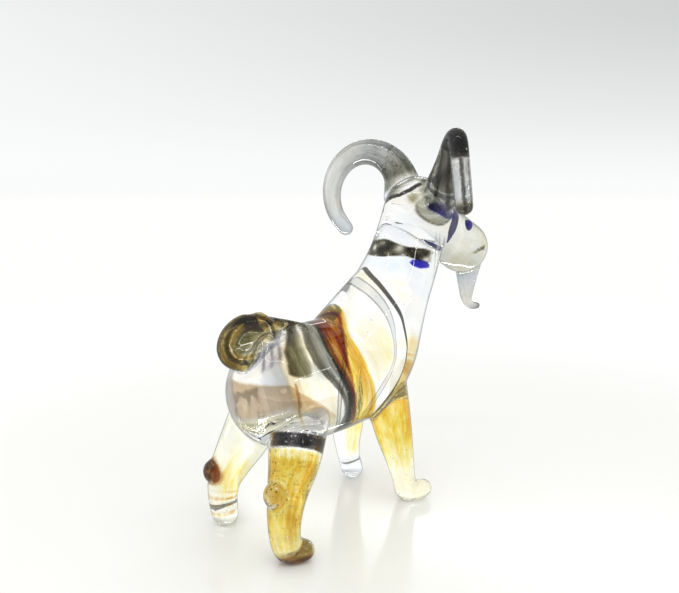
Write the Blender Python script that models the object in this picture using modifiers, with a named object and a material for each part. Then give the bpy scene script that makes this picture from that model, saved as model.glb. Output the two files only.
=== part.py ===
"""Lampworked glass goat, solid all through: run with blender --background --python part.py

Every limb is a gather of hot glass: a rod that swells and tapers along a bent path, with rounded ends.
The gathers overlap, and one remesh fuses them into a single body with melted fillets, as the flame does.
The goat stands on z = 0 and faces -Y, with its left side at +X. Sizes below are millimetres.
"""

import math

import bmesh
import bpy
from mathutils import Matrix, Vector

MM = 0.001

# Body: one gather drawn out from the rump over the shoulders and up the neck
RUMP_DEPTH = 16.4
RUMP_BACK = 16.4
RUMP_DROP = 0.4
BELLY_DEPTH = 17.6
BELLY_SET_BACK = 1.0
SHOULDER_DEPTH = 15.7
SHOULDER_REACH = 9.0
SHOULDER_DROP = 0.2
WITHERS_REACH = 3.2
WITHERS_RISE = 2.2
BODY_SQUEEZE = 0.92
BELLY_CLEARANCE = 12.4
NECK_MIDDLE_DIAMETER = 13.8
NECK_MIDDLE_REACH = 13.0
NECK_MIDDLE_RISE = 9.0
NECK_FILLET_SET_BACK = 0.4
NECK_TOP_DIAMETER = 11.6
NAPE_SET_BACK = 2.6
NAPE_DROP = 7.0
POLL_REACH = 20.6
POLL_HEIGHT = 44.6

# Head
CROWN_DROP = 1.0
MUZZLE_DIAMETER = 9.2
MUZZLE_REACH = 12.5
MUZZLE_DROP = 6.4
EYE_DIAMETER = 2.2
EYE_RISE = 2.1
BEARD_ROOT_REACH = 2.1
BEARD_LENGTH = 9.2
BEARD_BOW = 0.4
BEARD_TIP_SET_BACK = 0.2
BEARD_HOOK_REACH = 3.1
BEARD_ROOT_DIAMETER = 5.4
BEARD_TIP_DIAMETER = 1.5

# Horns
HORN_SET_FORWARD = 0.8
HORN_TIP_DIAMETER = 2.6
HORN_SPLAY = 56.0
LEFT_HORN = {"out": 3.5, "root": 7.0, "radius": 6.2, "height": 7.1, "turn": 234.0}
RIGHT_HORN = {"out": 4.1, "root": 6.2, "reach": 10.78, "rise": 7.45, "drop": 1.5, "fold": 3.2}

# Legs
STANCE_LENGTH = 26.0
HIND_TRACK = 15.0
FRONT_TRACK = 12.4
THIGH_DIAMETER = 8.6
HIND_SHANK_DIAMETER = 4.5
ARM_DIAMETER = 7.0
FRONT_SHANK_DIAMETER = 3.6
HIND_FOOT_DIAMETER = 4.0
FRONT_FOOT_DIAMETER = 3.7
TOE_DIAMETER = 3.1
TOE_TURN_OUT = 45.0
HEEL_REACH = 0.5
HIND_TOE_REACH = 1.4
HIND_TOE_RISE = 0.7
FRONT_TOE_REACH = 2.1
FRONT_TOE_RISE = 1.1
FRONT_SOLE_SET_BACK = 0.6
FRONT_HEEL_DROP = 0.3
HIP_REACH = 4.5
HIP_DROP = 3.0
STIFLE_REACH = 2.6
STIFLE_RISE = 1.0
HOCK_BEND_DROP = 0.8
SHOULDER_JOINT_SET_BACK = 4.0
ELBOW_SET_BACK = 3.6
KNEE_SET_BACK = 2.2
HOCK_BEAD_DIAMETER = 3.6
LEFT_HOCK = {"height": 8.5, "set_back": 0.7}
RIGHT_HOCK = {"height": 9.7, "set_back": 1.6}

# Tail
TAIL_ROOT_SET_BACK = 4.6
TAIL_ROOT_SINK = 1.3
TAIL_RISE = 4.5
TAIL_LENGTH = 15.6
TAIL_HEIGHT = 7.4
TAIL_THICKNESS = 2.8
TAIL_ROD_DIAMETER = 2.6
TAIL_ROOT_DIAMETER = 2.2
TAIL_DROOP = 26.0
TAIL_LEAN = 25.0
TAIL_CURL = -330.0

# Surface of the finished solid
MELT_GRID = 0.28
MELT_PASSES = 18
SOLID_TRIANGLES = 9000
SOLE_SINK = 1.3

FORWARD = Vector((0.0, -1.0, 0.0))
UP = Vector((0.0, 0.0, 1.0))
LEFT = Vector((1.0, 0.0, 0.0))

BODY_AXIS_HEIGHT = BELLY_CLEARANCE + BELLY_DEPTH / 2


def at(side, fore, height):
    """A point by its distance to the left, forward of the middle of the stance, and above the table."""
    return LEFT * side + FORWARD * fore + UP * height


def clear_scene():
    for obj in list(bpy.data.objects):
        bpy.data.objects.remove(obj, do_unlink=True)


def rod(stations):
    """A bent rod of round section: a smooth curve through the stations, each a point and a diameter."""
    curve = bpy.data.curves.new("rod", "CURVE")
    curve.dimensions = "3D"
    curve.bevel_depth = MM / 2
    curve.bevel_resolution = 10
    curve.resolution_u = 16
    curve.use_fill_caps = True
    spline = curve.splines.new("NURBS")
    spline.points.add(len(stations) - 1)
    for point, (place, diameter) in zip(spline.points, stations):
        point.co = (*(place * MM), 1.0)
        point.radius = diameter
    spline.order_u = min(3, len(stations))
    spline.use_endpoint_u = True
    obj = bpy.data.objects.new("rod", curve)
    bpy.context.collection.objects.link(obj)
    mesh = evaluated(obj)
    bpy.data.objects.remove(obj)
    return mesh


def gather(bundle, stations, shape=Matrix.Identity(4)):
    """Adds a rod and the round ends that surface tension gives it. shape turns or flattens the whole."""
    mesh = rod(stations)
    piece = bmesh.new()
    piece.from_mesh(mesh)
    bmesh.ops.remove_doubles(piece, verts=piece.verts, dist=0.001 * MM)
    for place, diameter in (stations[0], stations[-1]):
        bmesh.ops.create_uvsphere(
            piece, u_segments=32, v_segments=20, radius=diameter * MM / 2,
            matrix=Matrix.Translation(place * MM),
        )
    bmesh.ops.transform(piece, matrix=shape, verts=piece.verts)
    piece.to_mesh(mesh)
    piece.free()
    bundle.from_mesh(mesh)
    bpy.data.meshes.remove(mesh)


def ball(bundle, place, diameter):
    bmesh.ops.create_uvsphere(
        bundle, u_segments=32, v_segments=20, radius=diameter * MM / 2,
        matrix=Matrix.Translation(place * MM),
    )


def poll():
    """The crown of the head, where the horns and the neck meet."""
    return at(0, POLL_REACH, POLL_HEIGHT)


def neck_middle():
    return at(0, NECK_MIDDLE_REACH, BODY_AXIS_HEIGHT + NECK_MIDDLE_RISE)


def body(bundle):
    """One bent gather from the rump to the crown, squeezed from its depth to its width."""
    squeeze = Matrix.Diagonal((BODY_SQUEEZE, 1, 1, 1))
    gather(bundle, [
        (at(0, RUMP_DEPTH / 2 - RUMP_BACK, BODY_AXIS_HEIGHT - RUMP_DROP), RUMP_DEPTH),
        (at(0, -BELLY_SET_BACK, BODY_AXIS_HEIGHT), BELLY_DEPTH),
        (at(0, SHOULDER_REACH, BODY_AXIS_HEIGHT - SHOULDER_DROP), SHOULDER_DEPTH),
        (neck_middle(), NECK_MIDDLE_DIAMETER),
        (poll() - FORWARD * NAPE_SET_BACK - UP * NAPE_DROP, NECK_TOP_DIAMETER),
        (poll(), NECK_TOP_DIAMETER),
    ], squeeze)
    gather(bundle, [
        (at(0, WITHERS_REACH, BODY_AXIS_HEIGHT + WITHERS_RISE), SHOULDER_DEPTH * 0.9),
        (neck_middle() - FORWARD * NECK_FILLET_SET_BACK, NECK_MIDDLE_DIAMETER),
    ], squeeze)


def muzzle():
    return poll() + FORWARD * MUZZLE_REACH - UP * MUZZLE_DROP


def head(bundle):
    gather(bundle, [
        (poll() - UP * CROWN_DROP, NECK_TOP_DIAMETER * 0.92),
        (poll().lerp(muzzle(), 0.5), MUZZLE_DIAMETER * 0.96),
        (muzzle(), MUZZLE_DIAMETER),
    ])
    for side in (-1, 1):
        ball(bundle, eye(side), EYE_DIAMETER)


def eye(side):
    return poll().lerp(muzzle(), 0.70) + LEFT * side * MUZZLE_DIAMETER * 0.40 + UP * EYE_RISE


def beard(bundle):
    root = muzzle() - UP * MUZZLE_DIAMETER * 0.22 + FORWARD * BEARD_ROOT_REACH
    tip = root - UP * BEARD_LENGTH
    gather(bundle, [
        (root, BEARD_ROOT_DIAMETER),
        (root.lerp(tip, 0.45) - FORWARD * BEARD_BOW, BEARD_ROOT_DIAMETER * 0.62),
        (tip - FORWARD * BEARD_TIP_SET_BACK, BEARD_TIP_DIAMETER),
        (tip + FORWARD * BEARD_HOOK_REACH, BEARD_TIP_DIAMETER),
    ])


def horn_root(side, shape):
    return poll() + LEFT * side * shape["out"] + FORWARD * HORN_SET_FORWARD + UP * (NECK_TOP_DIAMETER * 0.24)


def horn_heading(side):
    """The level direction in which a horn leaves the crown: outward and back."""
    splay = math.radians(HORN_SPLAY)
    return LEFT * side * math.sin(splay) - FORWARD * math.cos(splay)


def curled_horn(bundle, side, shape):
    """A rod bent in an upright oval that goes up, out and back from the crown, and tapers all the way."""
    out = horn_heading(side)
    centre = horn_root(side, shape) + out * shape["radius"]
    steps = 12
    stations = []
    for step in range(steps + 1):
        share = step / steps
        angle = math.radians(shape["turn"]) * share
        place = centre - out * shape["radius"] * math.cos(angle) + UP * shape["height"] * math.sin(angle)
        diameter = shape["root"] + (HORN_TIP_DIAMETER - shape["root"]) * math.sqrt(share)
        stations.append((place, diameter))
    gather(bundle, stations)


def folded_horn(bundle, side, shape):
    """A rod that leans outward as it rises, folds over at the top and hangs down to a blunt tip."""
    root = horn_root(side, shape)
    out = horn_heading(side) * shape["reach"]
    rise = UP * shape["rise"]
    gather(bundle, [
        (root, shape["root"]),
        (root + out * 0.29 + rise * 0.56, shape["root"] * 0.68),
        (root + out * 0.50 + rise * 1.12, shape["fold"]),
        (root + out * 0.68 + rise * 1.16, shape["fold"] * 0.94),
        (root + out * 0.81 + rise * 0.62, HORN_TIP_DIAMETER * 1.12),
        (root + out - UP * shape["drop"], HORN_TIP_DIAMETER * 1.06),
    ])


def turned(side, degrees):
    """Straight ahead, swung outward by an angle."""
    angle = math.radians(degrees)
    return FORWARD * math.cos(angle) + LEFT * side * math.sin(angle)


def hind_leg(bundle, side, hock):
    foot = -STANCE_LENGTH / 2
    out = side * HIND_TRACK / 2
    sole = at(out, foot, HIND_FOOT_DIAMETER / 2 - SOLE_SINK)
    toe = sole + turned(side, TOE_TURN_OUT) * HIND_TOE_REACH + UP * HIND_TOE_RISE
    bend = at(out * 0.95, foot - hock["set_back"] / 2, hock["height"] - HOCK_BEND_DROP)
    gather(bundle, [
        (at(out * 0.50, foot + HIP_REACH, BODY_AXIS_HEIGHT - HIP_DROP), THIGH_DIAMETER),
        (at(out * 0.72, foot + STIFLE_REACH, BELLY_CLEARANCE + STIFLE_RISE), THIGH_DIAMETER * 0.88),
        (bend, HIND_SHANK_DIAMETER * 1.15),
        (at(out, foot - hock["set_back"], HIND_FOOT_DIAMETER * 1.1), HIND_SHANK_DIAMETER * 0.94),
        (sole - turned(side, TOE_TURN_OUT) * HEEL_REACH, HIND_FOOT_DIAMETER),
        (toe, TOE_DIAMETER),
    ])
    behind = hock["set_back"] / 2 + HIND_SHANK_DIAMETER * 0.36
    ball(bundle, at(out * 0.96, foot - behind, hock["height"]), HOCK_BEAD_DIAMETER)


def front_leg(bundle, side):
    foot = STANCE_LENGTH / 2
    out = side * FRONT_TRACK / 2
    sole = at(out, foot - FRONT_SOLE_SET_BACK, FRONT_FOOT_DIAMETER / 2 - SOLE_SINK)
    toe = sole + turned(side, TOE_TURN_OUT) * FRONT_TOE_REACH + UP * FRONT_TOE_RISE
    gather(bundle, [
        (at(out * 0.6, foot - SHOULDER_JOINT_SET_BACK, BODY_AXIS_HEIGHT - HIP_DROP), ARM_DIAMETER),
        (at(out * 0.8, foot - ELBOW_SET_BACK, BELLY_CLEARANCE), ARM_DIAMETER * 0.9),
        (at(out, foot - KNEE_SET_BACK, FRONT_FOOT_DIAMETER * 1.2), FRONT_SHANK_DIAMETER),
        (sole - turned(side, TOE_TURN_OUT) * HEEL_REACH - UP * FRONT_HEEL_DROP, FRONT_FOOT_DIAMETER),
        (toe, TOE_DIAMETER * 0.92),
    ])


def tail(bundle):
    """A rod led out from the rump and curled into an upright loop, which a flat drop fills."""
    root = at(0, -TAIL_ROOT_SET_BACK, BODY_AXIS_HEIGHT + BELLY_DEPTH / 2 - TAIL_ROOT_SINK)
    droop = math.radians(TAIL_DROOP)
    lean = math.radians(TAIL_LEAN)
    back = -FORWARD * math.cos(droop) - UP * math.sin(droop)
    face = -LEFT * math.cos(lean) + UP * math.sin(lean)
    face = (face - back * face.dot(back)).normalized()
    rise = back.cross(face)
    middle = root + back * (TAIL_LENGTH - TAIL_HEIGHT * 0.68) + UP * TAIL_RISE
    bend = (TAIL_HEIGHT - TAIL_ROD_DIAMETER) / 2
    loop = [(root, TAIL_ROOT_DIAMETER)]
    steps = 10
    for step in range(steps + 1):
        angle = math.radians(TAIL_CURL) * step / steps + math.radians(120)
        place = middle + back * math.cos(angle) * bend * 1.5 + rise * math.sin(angle) * bend
        loop.append((place, TAIL_ROD_DIAMETER))
    gather(bundle, loop)
    turn = Matrix((back, rise, face)).transposed().to_4x4()
    press = Matrix.Translation(middle * MM) @ turn @ Matrix.Diagonal((1, 1, TAIL_THICKNESS / TAIL_HEIGHT, 1))
    press = press @ turn.transposed() @ Matrix.Translation(-middle * MM)
    gather(bundle, [
        (root, TAIL_ROOT_DIAMETER),
        (middle, TAIL_HEIGHT * 0.88),
        (middle + back * TAIL_HEIGHT * 0.18, TAIL_HEIGHT * 0.78),
    ], press)


def melted(bundle):
    """Fuses the overlapping gathers into one closed skin and rounds its hollows."""
    mesh = bpy.data.meshes.new("gathers")
    bundle.to_mesh(mesh)
    obj = bpy.data.objects.new("gathers", mesh)
    bpy.context.collection.objects.link(obj)
    remesh = obj.modifiers.new("melt", "REMESH")
    remesh.mode = "VOXEL"
    remesh.voxel_size = MELT_GRID * MM
    smooth = obj.modifiers.new("surface_tension", "SMOOTH")
    smooth.factor = 0.5
    smooth.iterations = MELT_PASSES
    skin = evaluated(obj)
    obj.modifiers.clear()
    obj.data = skin
    skin.calc_loop_triangles()
    lighter = obj.modifiers.new("lighten", "DECIMATE")
    lighter.ratio = min(1.0, SOLID_TRIANGLES / len(skin.loop_triangles))
    skin = evaluated(obj)
    bpy.data.objects.remove(obj)
    return skin


def evaluated(obj):
    bpy.context.view_layer.update()
    return bpy.data.meshes.new_from_object(obj.evaluated_get(bpy.context.evaluated_depsgraph_get()))


def stood(skin):
    """Presses the four feet flat where they meet the table."""
    shape = bmesh.new()
    shape.from_mesh(skin)
    everything = shape.verts[:] + shape.edges[:] + shape.faces[:]
    bmesh.ops.bisect_plane(
        shape, geom=everything, dist=0.001 * MM, plane_co=(0, 0, 0), plane_no=(0, 0, 1), clear_inner=True,
    )
    rims = [edge for edge in shape.edges if edge.is_boundary]
    bmesh.ops.holes_fill(shape, edges=rims, sides=0)
    bmesh.ops.dissolve_degenerate(shape, edges=shape.edges, dist=0.01 * MM)
    bmesh.ops.triangulate(shape, faces=shape.faces)
    bmesh.ops.recalc_face_normals(shape, faces=shape.faces)
    shape.to_mesh(skin)
    shape.free()
    return skin


def centre(skin):
    """Sets the goat with the middle of its plan over the origin."""
    for axis in (0, 1):
        spread = [vertex.co[axis] for vertex in skin.vertices]
        middle = (min(spread) + max(spread)) / 2
        for vertex in skin.vertices:
            vertex.co[axis] -= middle


def glass():
    """Clear soda glass; the coloured canes inside are a matter of looks and stay out of the solid."""
    material = bpy.data.materials.new("flameworked_glass")
    material.use_nodes = True
    surface = material.node_tree.nodes["Principled BSDF"]
    surface.inputs["Base Color"].default_value = (0.93, 0.92, 0.86, 1.0)
    surface.inputs["Roughness"].default_value = 0.03
    surface.inputs["Metallic"].default_value = 0.0
    surface.inputs["IOR"].default_value = 1.52
    surface.inputs["Transmission Weight"].default_value = 0.9
    return material


def main():
    clear_scene()
    bundle = bmesh.new()
    body(bundle)
    head(bundle)
    beard(bundle)
    tail(bundle)
    curled_horn(bundle, 1, LEFT_HORN)
    folded_horn(bundle, -1, RIGHT_HORN)
    hind_leg(bundle, 1, LEFT_HOCK)
    hind_leg(bundle, -1, RIGHT_HOCK)
    front_leg(bundle, 1)
    front_leg(bundle, -1)
    skin = stood(melted(bundle))
    bundle.free()
    goat = bpy.data.objects.new("goat", skin)
    skin.materials.clear()
    skin.materials.append(glass())
    centre(skin)
    for face in skin.polygons:
        face.use_smooth = True
    pieces = bpy.data.collections.new("glass_goat")
    bpy.context.scene.collection.children.link(pieces)
    pieces.objects.link(goat)


main()
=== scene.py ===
"""Lampworked glass goat: clear glass with amber, smoke and dark canes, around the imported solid."""
import math

import bpy
import numpy as np
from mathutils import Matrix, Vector


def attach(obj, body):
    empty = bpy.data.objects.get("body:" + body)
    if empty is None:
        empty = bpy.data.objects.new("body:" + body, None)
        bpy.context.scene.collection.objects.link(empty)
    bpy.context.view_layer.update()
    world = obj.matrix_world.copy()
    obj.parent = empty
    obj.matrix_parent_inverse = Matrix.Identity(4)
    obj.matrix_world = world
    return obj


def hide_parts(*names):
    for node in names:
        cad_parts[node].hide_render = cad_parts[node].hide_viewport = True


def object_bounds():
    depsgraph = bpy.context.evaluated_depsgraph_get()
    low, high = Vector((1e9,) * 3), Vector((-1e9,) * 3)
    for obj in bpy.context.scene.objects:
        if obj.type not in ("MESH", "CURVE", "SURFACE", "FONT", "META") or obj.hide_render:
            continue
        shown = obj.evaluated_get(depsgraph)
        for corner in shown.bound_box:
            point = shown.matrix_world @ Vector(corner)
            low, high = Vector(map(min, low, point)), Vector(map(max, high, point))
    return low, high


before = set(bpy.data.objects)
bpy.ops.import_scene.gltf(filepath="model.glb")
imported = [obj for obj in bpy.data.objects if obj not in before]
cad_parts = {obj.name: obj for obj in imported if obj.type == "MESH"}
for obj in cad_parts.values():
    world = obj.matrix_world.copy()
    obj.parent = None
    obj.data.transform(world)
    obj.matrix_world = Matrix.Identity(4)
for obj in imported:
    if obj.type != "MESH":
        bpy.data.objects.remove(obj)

bl_info = {
    "name": "Glass goat",
    "version": (1, 0, 0),
    "blender": (4, 5, 0),
    "location": "View3D > Sidebar > Glass goat",
    "description": "Builds a lampworked glass goat and the plain white stage it stands on",
    "category": "Add Mesh",
}

CAD_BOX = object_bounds()
MM = 0.001
UP = np.array((0.0, 0.0, 1.0))
LEFT = np.array((1.0, 0.0, 0.0))
FORE = np.array((0.0, -1.0, 0.0))
SET_BACK = 10.168
SET_RIGHT = -0.448


def at(side, fore, height):
    """A point in millimetres by its distance to the left, forward of the middle of the stance, and up."""
    return np.array((side + SET_RIGHT, SET_BACK - fore, height))


def spline(points, count):
    """A quadratic B-spline with clamped ends: each sample is the sum of the points times their basis,
    and the basis comes from the usual recursion on knots that are whole numbers between the ends."""
    points = np.asarray(points, float)
    n = len(points)
    degree = min(2, n - 1)
    knots = np.concatenate([np.zeros(degree), np.arange(n - degree + 1), np.full(degree, n - degree)])
    u = np.linspace(0.0, n - degree, count)
    basis = ((knots[None, :-1] <= u[:, None]) & (u[:, None] < knots[None, 1:])).astype(float)
    basis[-1] = 0.0
    basis[-1, n - 1] = 1.0
    for d in range(1, degree + 1):
        low = knots[d:-1] - knots[:-d - 1]
        high = knots[d + 1:] - knots[1:-d]
        a = np.divide(u[:, None] - knots[None, :-d - 1], low, out=np.zeros((count, len(low))), where=low > 0)
        b = np.divide(knots[None, d + 1:] - u[:, None], high, out=np.zeros((count, len(high))), where=high > 0)
        basis = a * basis[:, :-1] + b * basis[:, 1:]
        basis[-1] = 0.0
        basis[-1, -1] = 1.0
    return basis @ points


def moving_axes(path, across):
    """For each sample of a path: the way along it, the way across it, and the way square to both."""
    tangent = np.gradient(path, axis=0)
    tangent /= np.linalg.norm(tangent, axis=1, keepdims=True)
    side = across - tangent * (tangent @ across)[:, None]
    side /= np.linalg.norm(side, axis=1, keepdims=True)
    return tangent, side, np.cross(tangent, side)


def tube(path, radius, across, sides, squeeze):
    """A round section carried along a path: each ring is the path's point plus the radius times
    (across * cosine + the third direction * sine), and half a sphere of rings closes each end."""
    tangent, side, third = moving_axes(path, across)
    cap = np.radians(np.linspace(90.0, 0.0, 9)[:-1])
    first = path[0] - tangent[0] * radius[0] * np.sin(cap)[:, None]
    last = path[-1] + tangent[-1] * radius[-1] * np.sin(cap[::-1])[:, None]
    path = np.concatenate([first, path, last])
    radius = np.concatenate([radius[0] * np.cos(cap), radius, radius[-1] * np.cos(cap[::-1])])
    side, third = (np.pad(way, ((len(cap), len(cap)), (0, 0)), "edge") for way in (side, third))
    turn = np.linspace(0.0, 2 * np.pi, sides, endpoint=False)
    ring = (side[:, None] * np.cos(turn)[None, :, None] * squeeze[0]
            + third[:, None] * np.sin(turn)[None, :, None] * squeeze[1])
    grid = path[:, None] + ring * radius[:, None, None]
    rows = len(path)
    verts = grid[1:-1].reshape(-1, 3)
    verts = np.concatenate([verts, path[:1], path[-1:]])
    i = np.arange(rows - 3)[:, None] * sides
    j = np.arange(sides)[None, :]
    k = (j + 1) % sides
    quads = np.stack([i + j, i + k, i + sides + k, i + sides + j], -1).reshape(-1, 4)
    start, end = len(verts) - 2, len(verts) - 1
    j, k = j[0], k[0]
    foot = (rows - 3) * sides
    fans = [np.stack([np.full(sides, start), k, j], 1), np.stack([np.full(sides, end), foot + j, foot + k], 1)]
    return verts, quads, np.concatenate(fans)


def joined(parts):
    """Several closed surfaces as one list of corners and faces."""
    verts, faces, offset = [], [], 0
    for corners, quads, fans in parts:
        verts.append(corners)
        faces += (quads + offset).tolist() + (fans + offset).tolist()
        offset += len(corners)
    return np.concatenate(verts), faces


def mesh_of(name, verts, faces):
    """A smooth-shaded mesh from corners in millimetres and faces."""
    mesh = bpy.data.meshes.new(name)
    mesh.from_pydata((verts * MM).tolist(), [], faces)
    mesh.polygons.foreach_set("use_smooth", np.ones(len(mesh.polygons), bool))
    mesh.update()
    return mesh


def linked(name, mesh):
    """A new object with this mesh, put into the scene."""
    obj = bpy.data.objects.new(name, mesh)
    bpy.context.scene.collection.objects.link(obj)
    return obj


# Sizes of the gathers in millimetres and degrees. A name that says no more is a diameter.
AXIS = 21.2
RUMP, BELLY, SHOULDER, WITHERS, NECK, CROWN = 16.4, 17.6, 15.7, 14.1, 13.8, 11.6
SQUEEZES = {"body": (0.92, 1.0), "withers": (0.92, 1.0), "tail_drop": (0.38, 1.0)}
SKULL, CHEEK, SNOUT = 10.7, 8.8, 9.2
HEAD_REACH, HEAD_DROP = 12.5, 6.4
EYE_RADIUS, EYE_RISE = 0.98, 2.1
BEARD_ROOT, BEARD_MIDDLE, BEARD_TIP = 5.4, 3.35, 1.5
BEARD_LENGTH, BEARD_HOOK = 9.2, 3.1
HORN_TIP, HORN_SPLAY = 2.6, 56.0
LEFT_HORN = {"out": 3.5, "root": 7.0, "radius": 6.2, "height": 7.1, "turn": 234.0}
RIGHT_HORN = {"out": 4.1, "root": 6.2, "reach": 10.78, "rise": 7.45, "drop": 1.5, "fold": 3.2}
HIND_REACH, HIND_OUT = -13.0, 7.5
THIGH, HIND_SHANK, HIND_SOLE = 8.6, 4.5, 4.0
FRONT_REACH, FRONT_OUT = 13.0, 6.2
ARM, ELBOW, FRONT_SHANK, FRONT_SOLE = 7.0, 6.3, 3.6, 3.7
TOE, TOE_TURN = 3.1, 45.0
HOCK_BEAD = 3.6
LEFT_HOCK = {"height": 8.5, "set_back": 0.7}
RIGHT_HOCK = {"height": 9.7, "set_back": 1.6}
TAIL_LENGTH, TAIL_HEIGHT, TAIL_RISE, TAIL_SINK = 15.6, 7.4, 4.5, 1.3
TAIL_ROOT, TAIL_ROD, TAIL_DROP, TAIL_DROP_END = 2.2, 2.6, 6.5, 5.8
TAIL_DROOP, TAIL_LEAN, TAIL_CURL, TAIL_CURL_START = 26.0, 25.0, -330.0, 120.0

POLL = at(0, 20.6, 44.6)
MUZZLE = POLL + FORE * HEAD_REACH - UP * HEAD_DROP


def limb(stations, across, samples=60):
    """One gather: its path, radii and a direction across it, from stations of a point and a diameter."""
    path = spline([place for place, _ in stations], samples)
    radius = spline([[width / 2] for _, width in stations], samples)[:, 0]
    return path, radius, np.asarray(across, float)


def horn_heading(side):
    """The level direction in which a horn leaves the crown, outward and back."""
    splay = math.radians(HORN_SPLAY)
    return LEFT * side * math.sin(splay) - FORE * math.cos(splay)


def horn_root(side, out):
    """Where a horn leaves the crown: out to its side, a little forward, and up by a share of the crown."""
    return POLL + LEFT * side * out + FORE * 0.8 + UP * CROWN * 0.24


def horn_limb(side, out, root, radius, height, turn):
    """A rod bent along an upright oval: up, out and back from the crown. It loses width as the square
    root of the share of its length."""
    away = horn_heading(side)
    start = horn_root(side, out)
    share = np.linspace(0, 1, 13)
    angle = np.radians(turn) * share
    swing = away * radius * np.cos(angle)[:, None]
    places = start + away * radius - swing + UP * height * np.sin(angle)[:, None]
    widths = root + (HORN_TIP - root) * np.sqrt(share)
    return limb(list(zip(places, widths)), np.cross(away, UP), 90)


def folded_horn_limb(side, out, root, reach, rise, drop, fold):
    """A horn that rises outward, folds over in a tight arch and comes straight down to a blunt tip."""
    away = horn_heading(side) * reach
    start = horn_root(side, out)
    lift = UP * rise
    return limb([
        (start, root),
        (start + away * 0.29 + lift * 0.56, root * 0.68),
        (start + away * 0.50 + lift * 1.12, fold),
        (start + away * 0.68 + lift * 1.16, fold * 0.94),
        (start + away * 0.81 + lift * 0.62, HORN_TIP * 1.12),
        (start + away - UP * drop, HORN_TIP * 1.06),
    ], np.cross(away, UP), 90)


def bead(place, width):
    """A ball, as the shortest of limbs."""
    return limb([(place - UP * 0.05, width), (place + UP * 0.05, width)], LEFT, 3)


def eye_place(side):
    """Seven tenths of the way from the poll to the muzzle, out by a share of the snout, and up."""
    return POLL * 0.3 + MUZZLE * 0.7 + LEFT * side * SNOUT * 0.40 + UP * EYE_RISE


def toe_heading(side):
    """The level direction of a toe, forward and turned out."""
    angle = math.radians(TOE_TURN)
    return FORE * math.cos(angle) + LEFT * side * math.sin(angle)


def hind_limb(side, height, set_back):
    """From inside the rump over the stifle and the hock to the sole, and on into a raised toe."""
    foot, out, toe = HIND_REACH, side * HIND_OUT, toe_heading(side)
    sole = at(out, foot, 0.7)
    return limb([
        (at(out * 0.50, foot + 4.5, AXIS - 3), THIGH),
        (at(out * 0.72, foot + 2.6, 13.4), THIGH * 0.88),
        (at(out * 0.95, foot - set_back / 2, height - 0.8), HIND_SHANK * 1.15),
        (at(out, foot - set_back, 4.4), HIND_SHANK * 0.94),
        (sole - toe * 0.5, HIND_SOLE),
        (sole + toe * 1.4 + UP * 0.7, TOE),
    ], LEFT)


def hock_bead(side, height, set_back):
    """A bead on the back of a hock."""
    return bead(at(side * HIND_OUT * 0.96, HIND_REACH - set_back / 2 - HIND_SHANK * 0.36, height), HOCK_BEAD)


def front_limb(side):
    """From inside the shoulder past the elbow to the sole, and on into a raised toe."""
    foot, out, toe = FRONT_REACH, side * FRONT_OUT, toe_heading(side)
    sole = at(out, foot - 0.6, 0.55)
    return limb([
        (at(out * 0.6, foot - 4.0, AXIS - 3), ARM),
        (at(out * 0.8, foot - 3.6, 12.4), ELBOW),
        (at(out, foot - 2.2, FRONT_SOLE * 1.2), FRONT_SHANK),
        (sole - toe * 0.5 - UP * 0.3, FRONT_SOLE),
        (sole + toe * 2.1 + UP * 1.1, TOE * 0.92),
    ], LEFT)


def tail_limbs():
    """The rolled tail: a rod led out from the rump into an upright loop, and a flat drop that fills it."""
    root = at(0, -4.6, AXIS + BELLY / 2 - TAIL_SINK)
    droop, lean = math.radians(TAIL_DROOP), math.radians(TAIL_LEAN)
    back = -FORE * math.cos(droop) - UP * math.sin(droop)
    face = -LEFT * math.cos(lean) + UP * math.sin(lean)
    face = face - back * (face @ back)
    face /= np.linalg.norm(face)
    rise = np.cross(back, face)
    middle = root + back * (TAIL_LENGTH - TAIL_HEIGHT * 0.68) + UP * TAIL_RISE
    bend = (TAIL_HEIGHT - TAIL_ROD) / 2
    angle = math.radians(TAIL_CURL) * np.linspace(0, 1, 11) + math.radians(TAIL_CURL_START)
    ring = middle + back * (np.cos(angle) * bend * 1.5)[:, None] + rise * (np.sin(angle) * bend)[:, None]
    loop = limb([(root, TAIL_ROOT)] + [(place, TAIL_ROD) for place in ring], face, 90)
    drop = limb([(root, TAIL_ROOT), (middle, TAIL_DROP), (middle + back * 1.33, TAIL_DROP_END)], face, 30)
    return loop, drop


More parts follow.
